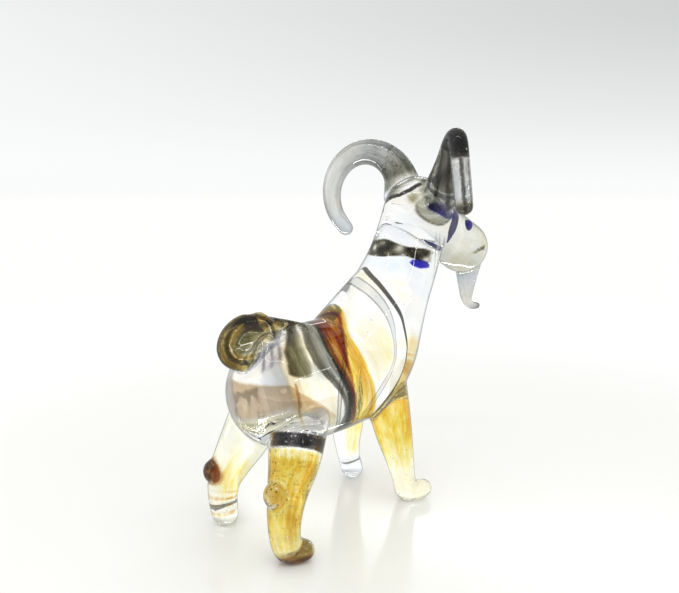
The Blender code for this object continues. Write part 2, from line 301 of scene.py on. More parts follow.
def goat_limbs():
    """Every gather by name: path, radii, direction across, and how the section is squeezed."""
    body = limb([
        (at(0, -8.2, AXIS - 0.4), RUMP), (at(0, -1.0, AXIS), BELLY), (at(0, 9.0, AXIS - 0.2), SHOULDER),
        (at(0, 13.0, AXIS + 9), NECK), (POLL - FORE * 2.6 - UP * 7, CROWN), (POLL, CROWN),
    ], LEFT, 120)
    root = MUZZLE - UP * 2.0 + FORE * 2.1
    tip = root - UP * BEARD_LENGTH
    loop, drop = tail_limbs()
    limbs = {
        "body": body,
        "withers": limb([(at(0, 3.2, AXIS + 2.2), WITHERS), (at(0, 12.6, AXIS + 9), NECK)], LEFT, 30),
        "head": limb([(POLL - UP, SKULL), ((POLL + MUZZLE) / 2, CHEEK), (MUZZLE, SNOUT)], LEFT),
        "beard": limb([(root, BEARD_ROOT), (root * 0.55 + tip * 0.45 - FORE * 0.4, BEARD_MIDDLE),
                       (tip - FORE * 0.2, BEARD_TIP), (tip + FORE * BEARD_HOOK, BEARD_TIP)], LEFT),
        "horn_left": horn_limb(1, **LEFT_HORN),
        "horn_right": folded_horn_limb(-1, **RIGHT_HORN),
        "hind_left": hind_limb(1, **LEFT_HOCK),
        "hind_right": hind_limb(-1, **RIGHT_HOCK),
        "front_left": front_limb(1),
        "front_right": front_limb(-1),
        "tail_loop": loop,
        "tail_drop": drop,
        "bead_left": hock_bead(1, **LEFT_HOCK),
        "bead_right": hock_bead(-1, **RIGHT_HOCK),
    }
    return {name: (*gather, SQUEEZES.get(name, (1.0, 1.0))) for name, gather in limbs.items()}


def limb_coordinates(co, limb_parts):
    """Straightened coordinates of points on a limb: the length along its path, and the angle round it.
    The nearest sample of the path gives the length so far; the rest of the offset, split along the path,
    across it and along their cross product, gives the remainder and the angle (0 on top, 90 on the right)."""
    path, radius, across, squeeze = limb_parts
    tangent, side, third = moving_axes(path, across)
    length = np.concatenate([[0], np.cumsum(np.linalg.norm(np.diff(path, axis=0), axis=1))])
    gap = (co ** 2).sum(1)[:, None] + (path ** 2).sum(1)[None] - 2 * co @ path.T
    near = gap.argmin(1)
    offset = co - path[near]
    along = (offset * tangent[near]).sum(1)
    a = (offset * side[near]).sum(1) / squeeze[0]
    b = (offset * third[near]).sum(1) / squeeze[1]
    reach = np.sqrt(a ** 2 + b ** 2 + along ** 2) / radius[near]
    return length[near] + along, np.degrees(np.arctan2(-a, b)), a, b, reach


def melted(name, verts, faces, grid, passes):
    """Fuses overlapping gathers into one closed skin on a fine grid and rounds its hollows."""
    obj = linked(name, mesh_of(name, verts, faces))
    remesh = obj.modifiers.new("melt", "REMESH")
    remesh.mode = "VOXEL"
    remesh.voxel_size = grid * MM
    smooth = obj.modifiers.new("surface_tension", "SMOOTH")
    smooth.factor = 0.5
    smooth.iterations = passes
    bpy.context.view_layer.update()
    skin = bpy.data.meshes.new_from_object(obj.evaluated_get(bpy.context.evaluated_depsgraph_get()))
    bpy.data.objects.remove(obj)
    return skin


def new_material(name):
    """A material with one Principled shader and nothing else yet."""
    material = bpy.data.materials.new(name)
    material.use_nodes = True
    tree = material.node_tree
    tree.nodes.clear()
    out = tree.nodes.new("ShaderNodeOutputMaterial")
    surface = tree.nodes.new("ShaderNodeBsdfPrincipled")
    tree.links.new(surface.outputs[0], out.inputs[0])
    return material, tree, surface


class Nodes:
    """Short calls that add shader nodes to one tree."""

    def __init__(self, tree):
        self.tree = tree

    def add(self, kind, inputs=(), **settings):
        """A node of one kind with its settings, and each input given linked or set."""
        node = self.tree.nodes.new("ShaderNode" + kind)
        for name, value in settings.items():
            setattr(node, name, value)
        for key, value in dict(inputs).items():
            if isinstance(value, bpy.types.NodeSocket):
                self.tree.links.new(value, node.inputs[key])
            else:
                node.inputs[key].default_value = value
        return node

    def attribute(self, name, output="Fac"):
        return self.add("Attribute", attribute_name=name).outputs[output]

    def math(self, operation, a, b=0.0):
        return self.add("Math", {0: a, 1: b}, operation=operation).outputs[0]

    def scaled(self, vector, scale):
        return self.add("VectorMath", {0: vector, 1: scale}, operation="MULTIPLY").outputs[0]

    def along(self, direction, way):
        """How far a direction points one way: their dot product."""
        return self.add("VectorMath", {0: direction, 1: way}, operation="DOT_PRODUCT").outputs["Value"]

    def place(self):
        """The place on the object in millimetres."""
        return self.scaled(self.add("TexCoord").outputs["Object"], (1 / MM, 1 / MM, 1 / MM))

    def noise(self, vector, scale, detail=2.0, distortion=0.0):
        return self.add("TexNoise", {"Vector": vector, "Scale": scale, "Detail": detail,
                                     "Distortion": distortion}).outputs["Fac"]

    def cells(self, vector, scale):
        """Distance from the nearest of many scattered points."""
        return self.add("TexVoronoi", {"Vector": vector, "Scale": scale, "Randomness": 1.0}).outputs["Distance"]

    def clouds(self, place, scale):
        """The shared clouds group, placed with its own scale."""
        return self.add("Group", {"Place": place, "Scale": scale}, node_tree=clouds_group()).outputs["Mask"]

    def ranged(self, value, low, high, to_low=0.0, to_high=1.0):
        """One range of values turned into another, with an even S-shaped way between them."""
        return self.add("MapRange", {0: value, 1: low, 2: high, 3: to_low, 4: to_high},
                        interpolation_type="SMOOTHSTEP").outputs[0]

    def tint(self, colour, amount):
        """A coloured layer of some thickness: the colour raised to the power of the amount."""
        return self.add("Gamma", {0: (*colour, 1.0), 1: amount}).outputs[0]

    def times(self, a, b):
        return self.add("Mix", {0: 1.0, 6: a, 7: b}, data_type="RGBA", blend_type="MULTIPLY").outputs[2]

    def mixed(self, share, a, b):
        """Two colours mixed by a share: the first at 0, the second at 1."""
        return self.add("Mix", {0: share, 6: a, 7: b}, data_type="RGBA").outputs[2]

    def matt_free(self, path):
        """1 for rays that haven't met a matt surface yet, 0 for the others."""
        return self.math("SUBTRACT", 1.0, self.math("MINIMUM", path["Diffuse Depth"], 1.0))


def clouds_group():
    """Soft clouds in the glass, as a mask: noise by place, at a scale that each material gives."""
    group = bpy.data.node_groups.get("clouds")
    if group is None:
        group = bpy.data.node_groups.new("clouds", "ShaderNodeTree")
        group.interface.new_socket("Place", in_out="INPUT", socket_type="NodeSocketVector")
        group.interface.new_socket("Scale", in_out="INPUT", socket_type="NodeSocketFloat")
        group.interface.new_socket("Mask", in_out="OUTPUT", socket_type="NodeSocketFloat")
        given = group.nodes.new("NodeGroupInput").outputs
        result = group.nodes.new("NodeGroupOutput").inputs
        group.links.new(Nodes(group).noise(given["Place"], given["Scale"]), result["Mask"])
    return group


WHITE = (1.0, 1.0, 1.0, 1.0)
BLACK = (0.0, 0.0, 0.0, 1.0)
# Faint tones of the clear glass, then the ray depths between which colour fades and by how much, and
# the ray depth past which a ray gets light, with its colour.
COOL, WARM = (0.80, 0.88, 1.0), (1.0, 0.95, 0.84)
FADE_FROM, FADE_TO, FADE = 1.0, 2.4, 0.85
LOST_DEPTH, LOST_LIGHT = 5.5, (0.27, 0.275, 0.28, 1.0)


def glass_material(look):
    """Clear glass tinted by the canes: every tint is a colour to the power of its amount and its streaks.
    Painted shade: turned-away glass is darker for the camera. Painted light: rays that have bounced inside take
    less colour, and those past the last bounce get a little light, so that they leave no black patches."""
    material, tree, surface = new_material("cane_glass")
    n = Nodes(tree)
    surface.inputs["Roughness"].default_value = 0.0
    surface.inputs["IOR"].default_value = look.index
    surface.inputs["Transmission Weight"].default_value = 1.0
    flow = n.attribute("cane_flow", "Vector")
    place = n.place()
    broad = n.noise(n.scaled(flow, (1.0, 1.0, 0.10)), 0.75, 2.0, 0.5)
    fine = n.noise(n.scaled(flow, (1.0, 1.0, 0.16)), 2.3, 3.0, 0.8)
    hair = n.noise(n.scaled(flow, (1.0, 1.0, 0.08)), 5.0, 2.0, 0.3)
    cloud = n.clouds(place, 0.16)
    amber_cane = n.attribute("cane_amber")
    gold_cane = n.attribute("cane_gold")
    amber = n.math("MULTIPLY", amber_cane, n.ranged(broad, 0.38, 0.60, 0.35, 1.6))
    gold = n.math("MULTIPLY", gold_cane, n.ranged(broad, 0.38, 0.62, 0.55, 1.25))
    gold = n.math("MULTIPLY", gold, n.ranged(fine, 0.36, 0.66, 0.6, 1.4))
    smoke = n.math("MULTIPLY", n.attribute("cane_smoke"), n.ranged(fine, 0.34, 0.66, 0.72, 1.25))
    olive = n.math("MULTIPLY", n.attribute("cane_olive"), n.ranged(broad, 0.34, 0.62, 0.6, 1.4))
    strokes = n.math("MULTIPLY", n.math("ADD", amber_cane, gold_cane), n.ranged(hair, 0.56, 0.66, 0.0, 0.08))
    amber = n.math("ADD", amber, strokes)
    dots = n.math("MULTIPLY", n.attribute("cane_speck"), n.ranged(n.cells(place, 1.5), 0.16, 0.30, 0.75, 0.0))
    dark = n.math("ADD", n.attribute("cane_dark"), dots)
    dark = n.math("MULTIPLY", dark, n.ranged(n.cells(place, 1.15), 0.13, 0.21, 0.12, 1.0))
    line = n.ranged(n.attribute("line_distance"), look.line_width * 0.30, look.line_width * 0.60, 0.62, 0.0)
    dark = n.math("ADD", dark, line)
    olive = n.math("ADD", olive, n.math("MULTIPLY", line, 0.5))
    ribbon = n.attribute("ribbon_distance")
    ribbon_rim = n.math("ABSOLUTE", n.math("SUBTRACT", ribbon, look.ribbon_width * 0.5))
    dark = n.math("ADD", dark, n.ranged(ribbon_rim, 0.03, 0.13, 0.24, 0.0))
    filling = n.ranged(ribbon, look.ribbon_width * 0.42, look.ribbon_width * 0.52, 0.22, 0.0)
    smoke = n.math("ADD", smoke, filling)
    path = n.add("LightPath").outputs
    # Painted shade: glass turned away from the camera is tinted darker, as dark rims.
    facing = n.add("LayerWeight", {"Blend": 0.5}).outputs["Facing"]
    outline = n.math("MULTIPLY", n.ranged(facing, 0.66, 0.97, 0.0, look.outline), path["Is Camera Ray"])
    colour = n.tint(look.amber, amber)
    for layer, amount in ((look.gold, gold), (look.smoke, smoke), (look.olive, olive),
                          (look.beige, n.attribute("cane_beige")), (look.cobalt, n.attribute("cane_blue")),
                          (look.dark, dark), (COOL, n.ranged(cloud, 0.50, 0.70, 0.05, 0.9)),
                          (WARM, n.ranged(cloud, 0.50, 0.32, 0.0, 0.9)), (look.smoke, outline)):
        colour = n.times(colour, n.tint(layer, amount))
    # Painted light: the colour pales towards white for rays that have bounced inside the glass.
    paled_by_depth = n.mixed(n.ranged(path["Ray Depth"], FADE_FROM, FADE_TO, 0.0, FADE), colour, WHITE)
    tree.links.new(paled_by_depth, surface.inputs["Base Color"])
    lost = n.mixed(n.math("GREATER_THAN", path["Ray Depth"], LOST_DEPTH), BLACK, LOST_LIGHT)
    tree.links.new(lost, surface.inputs["Emission Color"])
    surface.inputs["Emission Strength"].default_value = 1.0
    return material


def bubble_material(look):
    """Air inside the glass: the index of the glass turned round, so that each bubble has a dark rim. It is
    tinted a little, in clouds, as the glass round it is."""
    material, tree, surface = new_material("air_bubble")
    n = Nodes(tree)
    surface.inputs["Roughness"].default_value = 0.0
    surface.inputs["IOR"].default_value = 1 / look.index
    surface.inputs["Transmission Weight"].default_value = 1.0
    tone = n.mixed(n.clouds(n.place(), 0.4), (0.78, 0.76, 0.68, 1), WHITE)
    tree.links.new(tone, surface.inputs["Base Color"])
    return material


def cobalt_material(look):
    """Opaque blue glass: navy with paler clouds, under a fire polish."""
    material, tree, surface = new_material("cobalt_glass")
    n = Nodes(tree)
    paler = (*(level * 2.2 for level in look.eye), 1)
    tone = n.mixed(n.ranged(n.clouds(n.place(), 1.4), 0.45, 0.7), (*look.eye, 1), paler)
    tree.links.new(tone, surface.inputs["Base Color"])
    surface.inputs["Roughness"].default_value = 0.06
    return material


class GoatGlassSettings(bpy.types.PropertyGroup):
    """Glass of the goat: its fineness, its lines and its colours."""
    grid: bpy.props.FloatProperty(
        name="Melt grid", description="Grid that fuses the gathers, in millimetres",
        default=0.265, min=0.1, max=1.0)
    index: bpy.props.FloatProperty(
        name="Index of refraction", description="How strongly the glass bends light",
        default=1.42, min=1.0, max=2.0)
    bubbles: bpy.props.IntProperty(
        name="Bubbles", description="Air bubbles for each unit of the table of bubbles",
        default=10, min=0, max=40)
    line_width: bpy.props.FloatProperty(
        name="Neck line", description="Width of the dark line round the neck, in millimetres",
        default=0.55)
    ribbon_width: bpy.props.FloatProperty(
        name="Ribbon", description="Width of the grey ribbon behind the neck line, in millimetres",
        default=0.95)
    # Painted shade: how much darker the glass is tinted where it turns away from the camera.
    outline: bpy.props.FloatProperty(
        name="Outline", description="How much darker the glass is where it turns away",
        default=2.3, min=0.0, max=4.0)
    amber: bpy.props.FloatVectorProperty(
        name="Amber", description="Colour of the amber canes",
        subtype="COLOR", size=3, default=(0.52, 0.17, 0.02))
    gold: bpy.props.FloatVectorProperty(
        name="Gold", description="Colour of the golden canes",
        subtype="COLOR", size=3, default=(0.88, 0.68, 0.13))
    smoke: bpy.props.FloatVectorProperty(
        name="Smoke", description="Colour of the smoky canes",
        subtype="COLOR", size=3, default=(0.12, 0.125, 0.115))
    olive: bpy.props.FloatVectorProperty(
        name="Olive", description="Colour of the olive canes",
        subtype="COLOR", size=3, default=(0.20, 0.18, 0.09))
    beige: bpy.props.FloatVectorProperty(
        name="Beige", description="Colour of the pale brown canes",
        subtype="COLOR", size=3, default=(0.62, 0.48, 0.33))
    cobalt: bpy.props.FloatVectorProperty(
        name="Cobalt", description="Colour of the blue canes",
        subtype="COLOR", size=3, default=(0.0012, 0.0008, 0.20))
    eye: bpy.props.FloatVectorProperty(
        name="Eyes", description="Colour of the eyes",
        subtype="COLOR", size=3, default=(0.012, 0.010, 0.13))
    dark: bpy.props.FloatVectorProperty(
        name="Dark", description="Colour of the black-brown canes",
        subtype="COLOR", size=3, default=(0.0016, 0.0013, 0.0011))


class GoatStageSettings(bpy.types.PropertyGroup):
    """Table, surroundings and lamps."""
    floor_size: bpy.props.FloatProperty(
        name="Table radius", description="Radius of the white table",
        default=6.0, unit="LENGTH")
    floor_gap: bpy.props.FloatProperty(
        name="Table gap", description="Air under the soles",
        default=0.0001, unit="LENGTH")
    room_dark: bpy.props.FloatProperty(
        name="Dark side", description="How much darker the room is behind the camera",
        default=0.3, min=0.0, max=1.0, subtype="FACTOR")
    lamp_power: bpy.props.FloatProperty(
        name="Lamp power", description="Power of each strip lamp",
        default=0.8, unit="POWER")


# Sides of a gather's section, and how many rounding passes a melt grid of so many millimetres gets.
SIDES = 40
PASSES, PASSES_GRID = 18, 0.28


def smoothstep(low, high, x):
    """0 below one value and 1 past the other, with an even S-shaped way between them."""
    t = np.clip((x - low) / (high - low), 0, 1)
    return t * t * (3 - 2 * t)


class GOAT_OT_glass(bpy.types.Operator):
    """Build the clear body with its canes"""
    bl_idname = "goat.glass"
    bl_label = "Glass body"

    def execute(self, context):
        look = context.scene.goat_glass
        limbs = goat_limbs()
        parts = [tube(path, radius, across, SIDES, squeeze) for path, radius, across, squeeze in limbs.values()]
        verts, faces = joined(parts)
        skin = melted("gathers", verts, faces, look.grid, int(PASSES * (PASSES_GRID / look.grid) ** 2))
        flat = np.empty(len(skin.vertices) * 3, np.float32)
        skin.vertices.foreach_get("co", flat)
        co = np.clip(flat.reshape(-1, 3), CAD_BOX[0], CAD_BOX[1])
        skin.vertices.foreach_set("co", co.ravel())
        skin.update()
        paint(skin, co / MM, limbs)
        goat = linked("goat_glass", skin)
        skin.name = "goat_glass"
        skin.polygons.foreach_set("use_smooth", np.ones(len(skin.polygons), bool))
        skin.materials.clear()
        skin.materials.append(glass_material(look))
        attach(goat, "root")
        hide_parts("goat")
        return {"FINISHED"}


def balls(places, radii, rows, sides):
    """Balls as grids: each point is the place plus its radius times the usual sphere of latitude and longitude,
    with one point at each pole."""
    lat = np.linspace(0, np.pi, rows + 1)[1:-1]
    lon = np.linspace(0, 2 * np.pi, sides, endpoint=False)
    ring = np.stack([np.sin(lat)[:, None] * np.cos(lon), np.sin(lat)[:, None] * np.sin(lon),
                     np.repeat(np.cos(lat)[:, None], sides, 1)], -1).reshape(-1, 3)
    unit = np.concatenate([ring, ((0, 0, 1.0), (0, 0, -1.0))])
    i = np.arange(rows - 2)[:, None] * sides
    j = np.arange(sides)[None, :]
    k = (j + 1) % sides
    quads = np.stack([i + j, i + sides + j, i + sides + k, i + k], -1).reshape(-1, 4)
    j, k = j[0], k[0]
    top, foot = len(ring), (rows - 2) * sides
    fans = np.concatenate([np.stack([np.full(sides, top), j, k], 1),
                           np.stack([np.full(sides, top + 1), foot + k, foot + j], 1)])
    places, radii = np.asarray(places, float), np.asarray(radii, float)
    verts = (places[:, None] + unit[None] * radii[:, None, None]).reshape(-1, 3)
    shift = (np.arange(len(places)) * len(unit))[:, None, None]
    faces = (quads[None] + shift).reshape(-1, 4).tolist() + (fans[None] + shift).reshape(-1, 3).tolist()
    return verts, faces


class GOAT_OT_eyes(bpy.types.Operator):
    """Set the two blue eyes into the head"""
    bl_idname = "goat.eyes"
    bl_label = "Eyes"

    def execute(self, context):
        look = context.scene.goat_glass
        verts, faces = balls([eye_place(-1), eye_place(1)], [EYE_RADIUS, EYE_RADIUS], 18, 28)
        eyes = linked("eyes", mesh_of("eyes", verts, faces))
        eyes.data.materials.append(cobalt_material(look))
        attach(eyes, "root")
        return {"FINISHED"}


# Limb, how many bubbles for each unit of the setting, and the part of the path that they lie along.
BUBBLES = (("horn_left", 3.0, 0.05, 0.9), ("horn_right", 1.6, 0.1, 0.9), ("hind_right", 4.5, 0.3, 0.9),
           ("front_right", 2.0, 0.3, 0.8), ("hind_left", 2.0, 0.4, 0.95), ("tail_drop", 1.5, 0.3, 0.9),
           ("body", 3.0, 0.25, 0.9))
BUBBLE_RADIUS, BUBBLE_SPREAD = 0.05, 0.13


class GOAT_OT_bubbles(bpy.types.Operator):
    """Scatter small air bubbles inside the limbs"""
    bl_idname = "goat.bubbles"
    bl_label = "Bubbles"

    def execute(self, context):
        look = context.scene.goat_glass
        limbs = goat_limbs()
        rng = np.random.default_rng(7)
        places, radii = [], []
        for name, amount, low, high in BUBBLES:
            path, radius, across, squeeze = limbs[name]
            count = int(amount * look.bubbles)
            spot = (rng.uniform(low, high, count) * (len(path) - 1)).astype(int)
            _, side, third = (way[spot] for way in moving_axes(path, across))
            turn = rng.uniform(0, 2 * np.pi, count)
            out = radius[spot] * rng.uniform(0.35, 0.84, count)
            places.append(path[spot] + side * (np.cos(turn) * out * squeeze[0])[:, None]
                          + third * (np.sin(turn) * out * squeeze[1])[:, None])
            radii.append(BUBBLE_RADIUS + BUBBLE_SPREAD * rng.random(count) ** 2.5)
        verts, faces = balls(np.concatenate(places), np.concatenate(radii), 6, 8)
        bubbles = linked("bubbles", mesh_of("bubbles", verts, faces))
        bubbles.data.materials.append(bubble_material(look))
        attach(bubbles, "root")
        return {"FINISHED"}


def ring_table(angles, lengths):
    """A ring round the body as its length along the body for every degree: straight between the given
    angles, then evened by a raised cosine 31 degrees wide."""
    degrees = np.arange(-180, 180)
    table = np.interp(degrees, angles, lengths, period=360)
    window = np.hanning(31)
    window /= window.sum()
    return np.convolve(np.concatenate([table[-15:], table, table[:15]]), window, "valid")


def ring_at(table, angle):
    """The ring's length at each angle, straight between whole degrees."""
    return np.interp(angle, np.arange(-180, 181), np.append(table, table[0]))


# Edges of the body's bands: angles round the body (0 on top, 90 on the right) and lengths in millimetres.
CRESCENT_BACK = ring_table(
    (-170, -133, -103, -76, -50, -21, 8, 21, 36, 50, 62, 76, 89, 103, 116, 133, 180),
    (5.2, 4.2, 3.9, 2.6, 1.2, 1.6, 3.0, 1.8, 0.7, 0.5, 0.8, 2.2, 3.7, 4.7, 5.1, 4.9, 5.4))
CRESCENT_FRONT = ring_table(
    (-170, -133, -103, -76, -50, -21, 8, 29, 43, 56, 68, 81, 93, 106, 120, 144, 180),
    (8.0, 6.6, 6.0, 5.2, 4.2, 4.4, 5.7, 4.3, 3.8, 3.8, 4.3, 5.1, 6.1, 6.4, 6.7, 8.0, 8.4))
BROWN_FRONT = ring_table(
    (-160, -110, -60, -20, 10, 36, 51, 71, 87, 106, 140, 180),
    (8.4, 6.9, 6.2, 8.5, 9.8, 7.5, 6.4, 5.9, 6.4, 6.8, 8.4, 8.8))
GOLD_FRONT = ring_table(
    (-146, -117, -89, -64, -38, 0, 38, 64, 89, 117, 146, 180),
    (12.6, 11.5, 10.0, 9.2, 9.0, 10.8, 8.5, 9.0, 10.2, 12.0, 13.1, 13.2))
NECK_LINE = ring_table(
    (-150, -120, -99, -86, -60, -35, -14, 29, 53, 71, 86, 94, 99, 116, 141, 170),
    (12.6, 14.0, 17.0, 21.0, 25.0, 28.0, 29.5, 27.2, 25.4, 23.9, 21.2, 19.1, 16.3, 13.5, 12.4, 12.0))
GREY_LINE = ring_table(
    (-150, -120, -99, -86, -60, -35, -11, 22, 42, 55, 69, 76, 87, 104, 119, 150),
    (10.4, 11.5, 14.5, 18.5, 22.5, 25.5, 27.1, 25.9, 24.6, 23.1, 20.5, 17.3, 13.8, 11.4, 10.1, 9.8))


def between(low, high, x, soft):
    """1 between two values and 0 outside them, with soft edges."""
    return smoothstep(low - soft, low + soft, x) * (1 - smoothstep(high - soft, high + soft, x))


def bump_at(centre, width, x):
    """1 at the centre and less on both sides, as the bell curve of the distance over the width."""
    return np.exp(-((x - centre) / width) ** 2)


def from_line(co, places):
    """Distance of each corner from a broken line: the least of the distances from its straight pieces."""
    places = np.asarray(places, float)
    start, step = places[:-1], np.diff(places, axis=0)
    share = ((co[:, None] - start) * step).sum(2) / (step ** 2).sum(1)
    nearest = start + np.clip(share, 0, 1)[:, :, None] * step
    return np.linalg.norm(co[:, None] - nearest, axis=2).min(1)


def angle_gap(angle, centre):
    """How far apart two angles are in degrees, the shorter way round."""
    return np.abs((angle - centre + 180) % 360 - 180)


def oval(along, up, half_length, half_height):
    """0 in the middle of an oval and 1 on its edge."""
    return np.sqrt((along / half_length) ** 2 + (up / half_height) ** 2)


# Colours of the canes, a distance past every line, and two lines on the head through places in millimetres.
COLOURS = ("amber", "gold", "smoke", "olive", "dark", "beige", "blue", "speck")
FAR = 9.0
SEAM = np.array(((2.1, -5.6, 46.3), (1.5, -5.5, 46.6), (-1.0, -5.5, 47.4), (-2.3, -6.4, 48.2),
                 (-2.9, -8.0, 49.1)))
MOUTH = ((-4.9, -21.5, 38.0), (-5.0, -23.2, 38.2))


class Canes:
    """Where each corner of the skin lies on the limbs, and how much of each colour lies in the skin there.
    A corner belongs to several limbs by shares that add up to 1. s and phi are its length along the body
    and its angle round it, and near is 1 on the side that the camera sees and 0.12 on the other."""

    def __init__(self, co, limbs):
        self.co = co.astype(float)
        self.found = {name: limb_coordinates(self.co, limbs[name]) for name in limbs}
        self.reach = np.stack([self.found[name][4] for name in limbs], 1)
        weight = np.exp(-14 * (self.reach - self.reach.min(1, keepdims=True)))
        weight /= weight.sum(1, keepdims=True)
        part = self.part = dict(zip(limbs, weight.T))
        self.s, self.phi, _, _, body_reach = self.found["body"]
        clear_of_rump = smoothstep(1.03, 1.12, body_reach)
        for name in ("tail_loop", "tail_drop"):
            part["body"] = part["body"] + part[name] * (1 - clear_of_rump)
            part[name] = part[name] * clear_of_rump
        self.trunk = part["body"] + part["withers"]
        self.turned_right = np.sin(np.radians(self.phi))
        self.near = 0.12 + 0.88 * smoothstep(-0.65, -0.10, self.turned_right)
        self.back, self.front = ring_at(CRESCENT_BACK, self.phi), ring_at(CRESCENT_FRONT, self.phi)
        for colour in COLOURS:
            setattr(self, colour, np.zeros(len(co)))


def lay_crescent(c):
    """The dark crescent behind the shoulder, black along its front edge low on the side."""
    inside = between(c.back, c.front, c.s, 0.12) * c.trunk
    across = (c.s - c.back) / np.maximum(c.front - c.back, 0.3)
    heavy = smoothstep(55, 110, np.abs(c.phi))
    c.smoke += inside * (1.10 + 0.22 * np.cos(across * 7.0)) * (0.08 + 0.92 * c.near)
    c.olive += inside * 0.25 * c.near
    c.dark += inside * smoothstep(0.80 - 0.50 * heavy, 1.0 - 0.38 * heavy, across) * 0.9 * c.near
    c.dark += inside * bump_at(0.30, 0.12, across) * 0.30 * c.near


def lay_bands(c):
    """In front of the crescent: the brown and the gold band, paler gold up the neck, the distances from
    the neck line and from the grey ribbon, and the gold chest."""
    s, phi, trunk, near = c.s, c.phi, c.trunk, c.near
    gold_front, grey_line, neck_line = (ring_at(table, phi) for table in (GOLD_FRONT, GREY_LINE, NECK_LINE))
    brown = between(c.front, ring_at(BROWN_FRONT, phi), s, 0.22) * trunk * near
    gold_band = between(c.front - 0.2, gold_front, s, 0.3) * trunk * near
    ridge = smoothstep(75, 20, np.abs(phi))
    c.amber += brown * (2.3 + 0.3 * ridge) + 0.45 * gold_band * bump_at(0, 0.8, s - gold_front + 1.2)
    c.gold += gold_band * 1.7
    c.dark += brown * (0.10 + 0.25 * bump_at(0, 0.7, s - c.front))
    c.gold += between(gold_front + 0.8, grey_line - 1.8, s, 1.2) * trunk * 0.45 * bump_at(70, 26, phi)
    c.gold += between(grey_line + 0.8, neck_line - 0.5, s, 0.2) * trunk * 0.34 * bump_at(5, 28, phi)
    c.gold += between(neck_line + 1.0, neck_line + 4.0, s, 0.9) * trunk * 0.14 * bump_at(62, 22, phi)
    slope = 0.72
    faint = (1 - smoothstep(-0.45, -0.05, c.turned_right)) * 0.27
    c.line_distance = np.where(trunk > 0.5, np.abs(s - neck_line) * slope + faint, FAR)
    c.ribbon_distance = np.where(trunk > 0.5, np.abs(s - grey_line) * slope + faint, FAR)
    chest = between(neck_line + 0.3, 24.0, s, 0.8) * smoothstep(70, 100, np.abs(phi)) * trunk
    chest *= (1 - smoothstep(17, 24, s)) * near
    c.amber += chest * 0.45
    c.gold += chest * 1.0


def lay_back_stripe(c):
    """Behind the crescent: the olive stripe down from the back, its smoky hook, a faint painted shade under the
    tail and painted refraction streaks there.
    """
    s, phi, body = c.s, c.phi, c.part["body"]
    middle = np.interp(phi, (0, 10, 32, 48, 60, 66), (1.6, 1.15, -0.9, -1.5, -1.8, -2.0))
    half = np.interp(phi, (10, 32, 60), (0.75, 1.4, 1.6))
    to_right = np.clip((s - middle) / half, -1, 1)
    stripe = between(-half, half, s - middle, 0.3) * body
    stripe *= between(-12, 64 + 4 * to_right - 3 * to_right ** 2, phi, 1.5)
    hook = bump_at(0.6 + 0.12 * (phi - 60), 0.8, s) * between(48, 74, phi, 5) * body
    c.smoke += hook * 0.30
    c.olive += stripe * (1.2 - 0.5 * to_right)
    edge = 0.5 * bump_at(-0.95, 0.16, to_right)
    c.smoke += stripe * (0.75 - 0.35 * to_right + 0.6 * smoothstep(34, 12, phi) + edge)
    # Painted shade: a faint smoky tone under the tail.
    shade = bump_at(-3.6, 1.3, s + 0.03 * (phi - 25)) * between(-15, 45, phi, 12) * body
    c.smoke += shade * 0.10
    # Painted refraction: smoky, faintly blue streaks under the tail, standing in for the rump's top seen
    # through it.
    painted_refraction_streak = between(-5.8, -2.2, s, 0.4) * between(17, 40, phi, 3) * body
    c.smoke += painted_refraction_streak * (0.15 + 0.8 * smoothstep(0.2, 0.9, np.sin((s + 0.07 * phi) * 5.5)))
    c.blue += painted_refraction_streak * 0.03


def lay_rump_bands(c):
    """On the rump: the beige band between its top and foot lines, two arched lines under it and a hairline."""
    _, y, z = c.co.T
    behind = smoothstep(-0.2, 0.3, c.back - 1.5 - c.s)
    top = np.interp(y, (15.07, 18.27, 21.17, 22.27, 25.97), (17.9, 20.4, 22.3, 23.4, 23.4))
    foot = np.interp(y, (18.47, 20.07, 22.47, 24.67, 26.07), (17.6, 19.6, 20.3, 19.6, 18.4))
    band = smoothstep(-0.15, 0.15, top - z) * smoothstep(-0.9, 0.8, z - foot) * smoothstep(13, 15.5, y)
    c.beige += band * c.trunk * behind * 1.9 * (0.2 + 0.8 * c.near)
    arch = smoothstep(-0.3, 0.3, foot - z - 0.4) * smoothstep(14, 16, y) * between(16.4, 21, z, 0.4)
    arch *= behind * c.trunk
    c.beige += arch * 0.15
    c.gold += arch * 0.30
    c.smoke += arch * 0.45 * np.maximum(bump_at(0, 0.14, foot - z - 1.0), bump_at(0, 0.14, foot - z - 1.7))
    hairline = bump_at(0, 0.13, c.s + 3.0) * between(68, 112, c.phi, 2) * c.trunk
    c.amber += hairline * 0.9
    c.dark += hairline * 0.12


def lay_right_hind_leg(c):
    """The charcoal ring with amber and blue in it, the yellow shin with its specks, and the amber sole."""
    x, _, z = c.co.T
    s, phi = c.found["hind_right"][:2]
    leg = c.part["hind_right"]
    ring = between(3.3, 5.15, s, 0.12) * np.clip(leg * 2.5, 0, 1) * smoothstep(-4.2, -5.4, x)
    c.dark += ring * (0.75 + 0.2 * np.sin(phi * 0.12))
    c.blue += ring * 0.05 * smoothstep(100, 130, phi)
    c.amber += ring * 0.8 * smoothstep(105, 85, phi)
    c.speck += ring * 0.7
    shin = leg * smoothstep(5.2, 5.9, s)
    c.gold += shin * (1.4 - 0.6 * smoothstep(14, 18, s))
    c.olive += shin * 0.10
    c.amber += shin * (0.15 * bump_at(112, 16, phi) + 0.10 * bump_at(-165, 16, phi)) * smoothstep(19, 13, s)
    specks = 0.10 + 0.40 * bump_at(60, 22, phi) + 0.25 * bump_at(-170, 14, phi)
    c.speck += shin * specks * smoothstep(16, 12, s)
    sole = leg * smoothstep(1.5, 0.7, z) * smoothstep(17.0, 18.4, s)
    c.amber += sole * 1.0
    c.dark += sole * 0.30
    c.speck += sole * 0.6


